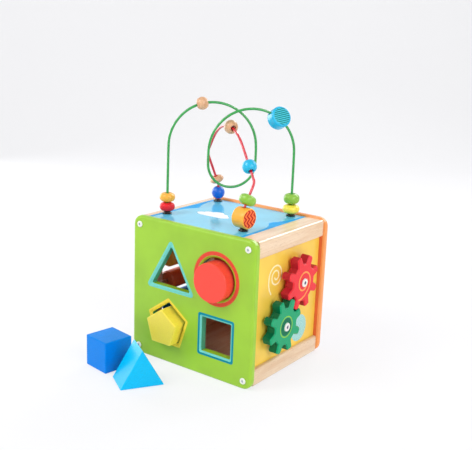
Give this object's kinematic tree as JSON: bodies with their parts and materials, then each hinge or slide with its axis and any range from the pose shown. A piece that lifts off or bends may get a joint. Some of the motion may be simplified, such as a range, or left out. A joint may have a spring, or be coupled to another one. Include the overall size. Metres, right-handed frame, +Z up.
{
  "type": "activity cube",
  "caption": "Wooden activity cube: sorting holes with blocks in front, meshed gears, rollers and a slide maze on the other sides, and beads on two bent wires on top.",
  "frame": {"origin": "middle of the cube's underside", "axes": "+Z up, +X towards the gear side, -Y towards the sorting holes"},
  "size_m": [0.1806, 0.2303, 0.2811],
  "materials": {
    "lime_lacquer": "lacquered board",
    "orange_lacquer": "lacquered board",
    "bare_wood": "plain light wood",
    "yellow_lacquer": "lacquered board",
    "teal_lacquer": "lacquered board",
    "sky_blue_lacquer": "glossy lacquered board",
    "white_plastic": "smooth",
    "red_paint": "painted wood",
    "coral_paint": "painted wood",
    "green_paint": "painted wood",
    "leaf_paint": "painted wood",
    "orange_paint": "painted wood",
    "lemon_paint": "painted wood",
    "blue_paint": "painted wood",
    "deep_blue_paint": "painted wood",
    "cyan_paint": "painted wood",
    "purple_paint": "painted wood",
    "steel": "bright steel",
    "black_plastic": "matt",
    "green_wire_coat": "coated steel wire",
    "red_wire_coat": "coated steel wire"
  },
  "bodies": {
    "box": {"front_cover": "lime_lacquer", "back_cover": "orange_lacquer", "top_left_beam": "bare_wood", "top_right_beam": "bare_wood", "bottom_left_beam": "bare_wood", "bottom_right_beam": "bare_wood", "base_board": "bare_wood", "right_panel": "yellow_lacquer", "left_panel": "teal_lacquer", "top_board": "sky_blue_lacquer", "front_screw_top_left": "white_plastic", "front_screw_top_right": "white_plastic", "front_screw_bottom_left": "white_plastic", "front_screw_bottom_right": "white_plastic", "back_screw_top_left": "white_plastic", "back_screw_top_right": "white_plastic", "back_screw_bottom_left": "white_plastic", "back_screw_bottom_right": "white_plastic", "red_gear_screw": "white_plastic", "green_gear_screw": "white_plastic", "purple_wheel_screw": "white_plastic", "top_roller_axle": "steel", "middle_roller_axle": "steel", "bottom_roller_axle": "steel", "wire_foot_a": "black_plastic", "wire_foot_b": "black_plastic", "wire_foot_c": "black_plastic", "wire_foot_d": "black_plastic", "green_wire": "green_wire_coat", "red_wire": "red_wire_coat"},
    "red_gear_body": {"red_gear": "red_paint"},
    "green_gear_body": {"green_gear": "green_paint"},
    "orange_roller_body": {"orange_roller": "orange_paint"},
    "natural_roller_body": {"natural_roller": "bare_wood"},
    "red_roller_body": {"red_roller": "coral_paint"},
    "blue_roller_body": {"blue_roller": "blue_paint"},
    "purple_wheel_body": {"purple_wheel": "purple_paint"},
    "yellow_knob_body": {"yellow_maze_knob": "lemon_paint", "yellow_maze_washer": "white_plastic"},
    "green_knob_body": {"green_maze_knob": "leaf_paint", "green_maze_washer": "white_plastic"},
    "blue_knob_body": {"blue_maze_knob": "blue_paint", "blue_maze_washer": "white_plastic"},
    "red_bead_body": {"red_bead": "red_paint"},
    "orange_bead_body": {"orange_bead": "orange_paint"},
    "yellow_bead_body": {"yellow_bead": "lemon_paint"},
    "green_bead_body": {"green_bead": "leaf_paint"},
    "blue_ball_body": {"blue_ball": "deep_blue_paint"},
    "wood_disc_body": {"wood_disc": "bare_wood"},
    "orange_drum_body": {"orange_drum": "orange_paint"},
    "oval_bead_body": {"oval_bead": "leaf_paint"},
    "wood_ball_body": {"wood_ball": "bare_wood"},
    "cyan_drum_body": {"cyan_drum": "cyan_paint"},
    "red_wire_ball_body": {"wood_ball_red_wire": "bare_wood"},
    "cyan_bead_body": {"cyan_bead": "cyan_paint"},
    "cylinder_block_body": {"cylinder_block": "coral_paint"},
    "pentagon_block_body": {"pentagon_block": "lemon_paint"},
    "cube_block_body": {"cube_block": "blue_paint"},
    "triangle_block_body": {"triangle_block": "cyan_paint"}
  },
  "joints": [
    {"name": "red_gear_spin", "type": "hinge", "parent": "box", "child": "red_gear_body", "pos_m": [0.081, 0.01058, 0.09771], "axis": [1, 0, 0], "continuous": true},
    {"name": "green_gear_spin", "type": "hinge", "parent": "box", "child": "green_gear_body", "pos_m": [0.081, -0.0194, 0.0572], "axis": [1, 0, 0], "continuous": true},
    {"name": "orange_roller_spin", "type": "hinge", "parent": "box", "child": "orange_roller_body", "pos_m": [-0.0643, 0.008, 0.1025], "axis": [0, 1, 0], "continuous": true},
    {"name": "natural_roller_spin", "type": "hinge", "parent": "box", "child": "natural_roller_body", "pos_m": [-0.0643, 0.034, 0.076], "axis": [0, 1, 0], "continuous": true},
    {"name": "red_roller_spin", "type": "hinge", "parent": "box", "child": "red_roller_body", "pos_m": [-0.0643, -0.007, 0.076], "axis": [0, 1, 0], "continuous": true},
    {"name": "blue_roller_spin", "type": "hinge", "parent": "box", "child": "blue_roller_body", "pos_m": [-0.0643, 0.008, 0.0495], "axis": [0, 1, 0], "continuous": true},
    {"name": "purple_wheel_spin", "type": "hinge", "parent": "box", "child": "purple_wheel_body", "pos_m": [0.03, 0.073, 0.122], "axis": [0, 1, 0], "continuous": true},
    {"name": "yellow_knob_slide", "type": "slide", "parent": "box", "child": "yellow_knob_body", "axis": [1, 0, 0], "range_m": [-0.029, 0.026]},
    {"name": "green_knob_slide", "type": "slide", "parent": "box", "child": "green_knob_body", "axis": [1, 0, 0], "range_m": [-0.045, 0.003]},
    {"name": "blue_knob_slide", "type": "slide", "parent": "box", "child": "blue_knob_body", "axis": [-0.8051, 0, 0.5932], "range_m": [-0.002, 0.0205]},
    {"name": "red_bead_lift", "type": "slide", "parent": "box", "child": "red_bead_body", "axis": [0, 0, 1], "range_m": [0, 0.022]},
    {"name": "orange_bead_lift", "type": "slide", "parent": "red_bead_body", "child": "orange_bead_body", "axis": [0, 0, 1], "range_m": [0, 0.022]},
    {"name": "yellow_bead_lift", "type": "slide", "parent": "box", "child": "yellow_bead_body", "axis": [0, 0, 1], "range_m": [0, 0.02]},
    {"name": "green_bead_lift", "type": "slide", "parent": "yellow_bead_body", "child": "green_bead_body", "axis": [0, 0, 1], "range_m": [0, 0.02]},
    {"name": "blue_ball_spin", "type": "hinge", "parent": "box", "child": "blue_ball_body", "pos_m": [-0.06, 0.052, 0.1647], "axis": [0, 0, 1], "continuous": true},
    {"name": "wood_disc_slide", "type": "slide", "parent": "box", "child": "wood_disc_body", "axis": [-0.2009, -0.3031, 0.9316], "range_m": [0, 0.022]},
    {"name": "orange_drum_spin", "type": "hinge", "parent": "box", "child": "orange_drum_body", "pos_m": [0.041, -0.037, 0.1678], "axis": [0, 0, 1], "continuous": true},
    {"name": "oval_bead_slide", "type": "slide", "parent": "box", "child": "oval_bead_body", "axis": [0.1096, 0.4292, 0.8965], "range_m": [0, 0.0085]},
    {"name": "wood_ball_along_arch", "type": "hinge", "parent": "box", "child": "wood_ball_body", "pos_m": [-0.02763, -0.00365, 0.2285], "axis": [0.6853, -0.7283, 0], "range_deg": [-28, 64]},
    {"name": "cyan_drum_along_arch", "type": "hinge", "parent": "box", "child": "cyan_drum_body", "pos_m": [0.00714, 0.02013, 0.224], "axis": [0.6853, -0.7283, 0], "range_deg": [-38, 30]},
    {"name": "red_wire_ball_along_arch", "type": "hinge", "parent": "box", "child": "red_wire_ball_body", "pos_m": [-0.01843, 0.01095, 0.19541], "axis": [0.4999, 0.866, -0.0096], "range_deg": [-46, 25]},
    {"name": "cyan_bead_slide", "type": "slide", "parent": "box", "child": "cyan_bead_body", "axis": [0.6267, -0.3693, -0.6862], "range_m": [-0.0205, 0.0085]},
    {"name": "cylinder_block_slide", "type": "slide", "parent": "box", "child": "cylinder_block_body", "axis": [0, -1, 0], "range_m": [-0.012, 0.02]},
    {"name": "pentagon_block_slide", "type": "slide", "parent": "box", "child": "pentagon_block_body", "axis": [0, -1, 0], "range_m": [-0.012, 0.02]},
    {"name": "cube_block_lift", "type": "slide", "parent": "box", "child": "cube_block_body", "axis": [0, 0, 1], "range_m": [0, 0.1]},
    {"name": "triangle_block_lift", "type": "slide", "parent": "box", "child": "triangle_block_body", "axis": [0, 0, 1], "range_m": [0, 0.1]}
  ],
  "couplings": [
    {"joint": "green_gear_spin", "follows": "red_gear_spin", "ratio": -1}
  ]
}
